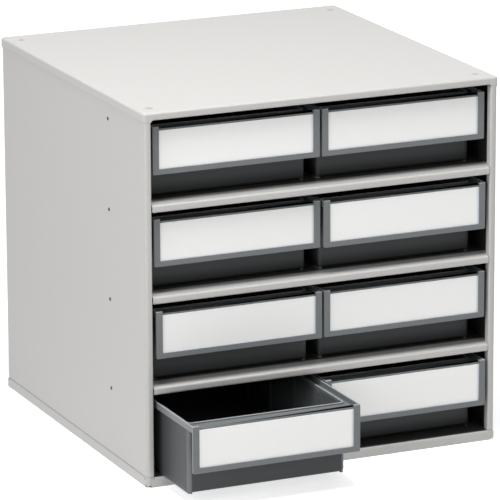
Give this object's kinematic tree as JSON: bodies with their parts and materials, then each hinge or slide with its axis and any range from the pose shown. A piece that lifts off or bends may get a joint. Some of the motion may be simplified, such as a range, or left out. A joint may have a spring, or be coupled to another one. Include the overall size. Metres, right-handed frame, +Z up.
{
  "type": "parts bin cabinet",
  "caption": "Light grey folded-steel cabinet with shelves of pull-out grey plastic bins; each bin has a hanging white label front that serves as its grip.",
  "frame": {"origin": "centre of the cabinet's own footprint, on the floor it stands on", "axes": "+X to the right seen from the front, +Y to the back (the bins pull out along -Y), +Z up"},
  "size_m": [0.4, 0.491, 0.395],
  "materials": {
    "cabinet_enamel": "light grey powder coat, satin, very fine texture",
    "bin_plastic": "moulded mid grey plastic, satin with a fine grain",
    "label_card": "plain white card, matte",
    "zinc_steel": "bright zinc plate",
    "blackened_steel": "black oxide, semi-matte"
  },
  "bodies": {
    "cabinet": {"top_panel": "cabinet_enamel", "base_pan": "cabinet_enamel", "left_side": "cabinet_enamel", "right_side": "cabinet_enamel", "back_panel": "cabinet_enamel", "shelf_upper": "cabinet_enamel", "shelf_middle": "cabinet_enamel", "shelf_lower": "cabinet_enamel", "left_stop_pins": "blackened_steel", "right_stop_pins": "blackened_steel", "back_rivets": "zinc_steel"},
    "row1_left": {"bin_row1_left": "bin_plastic", "card_row1_left": "label_card"},
    "row1_right": {"bin_row1_right": "bin_plastic", "card_row1_right": "label_card"},
    "row2_left": {"bin_row2_left": "bin_plastic", "card_row2_left": "label_card"},
    "row2_right": {"bin_row2_right": "bin_plastic", "card_row2_right": "label_card"},
    "row3_left": {"bin_row3_left": "bin_plastic", "card_row3_left": "label_card"},
    "row3_right": {"bin_row3_right": "bin_plastic", "card_row3_right": "label_card"},
    "row4_left": {"bin_row4_left": "bin_plastic", "card_row4_left": "label_card"},
    "row4_right": {"bin_row4_right": "bin_plastic", "card_row4_right": "label_card"}
  },
  "joints": [
    {"name": "row1_left_slide", "type": "slide", "parent": "cabinet", "child": "row1_left", "axis": [0, -1, 0], "range_m": [0, 0.2862]},
    {"name": "row1_right_slide", "type": "slide", "parent": "cabinet", "child": "row1_right", "axis": [0, -1, 0], "range_m": [0, 0.2862]},
    {"name": "row2_left_slide", "type": "slide", "parent": "cabinet", "child": "row2_left", "axis": [0, -1, 0], "range_m": [-0.001, 0.2852]},
    {"name": "row2_right_slide", "type": "slide", "parent": "cabinet", "child": "row2_right", "axis": [0, -1, 0], "range_m": [-0.0046, 0.2816]},
    {"name": "row3_left_slide", "type": "slide", "parent": "cabinet", "child": "row3_left", "axis": [0, -1, 0], "range_m": [-0.0054, 0.2808]},
    {"name": "row3_right_slide", "type": "slide", "parent": "cabinet", "child": "row3_right", "axis": [0, -1, 0], "range_m": [-0.0046, 0.2816]},
    {"name": "row4_left_slide", "type": "slide", "parent": "cabinet", "child": "row4_left", "axis": [0, -1, 0], "range_m": [-0.0976, 0.1886]},
    {"name": "row4_right_slide", "type": "slide", "parent": "cabinet", "child": "row4_right", "axis": [0, -1, 0], "range_m": [-0.0084, 0.2778]}
  ]
}
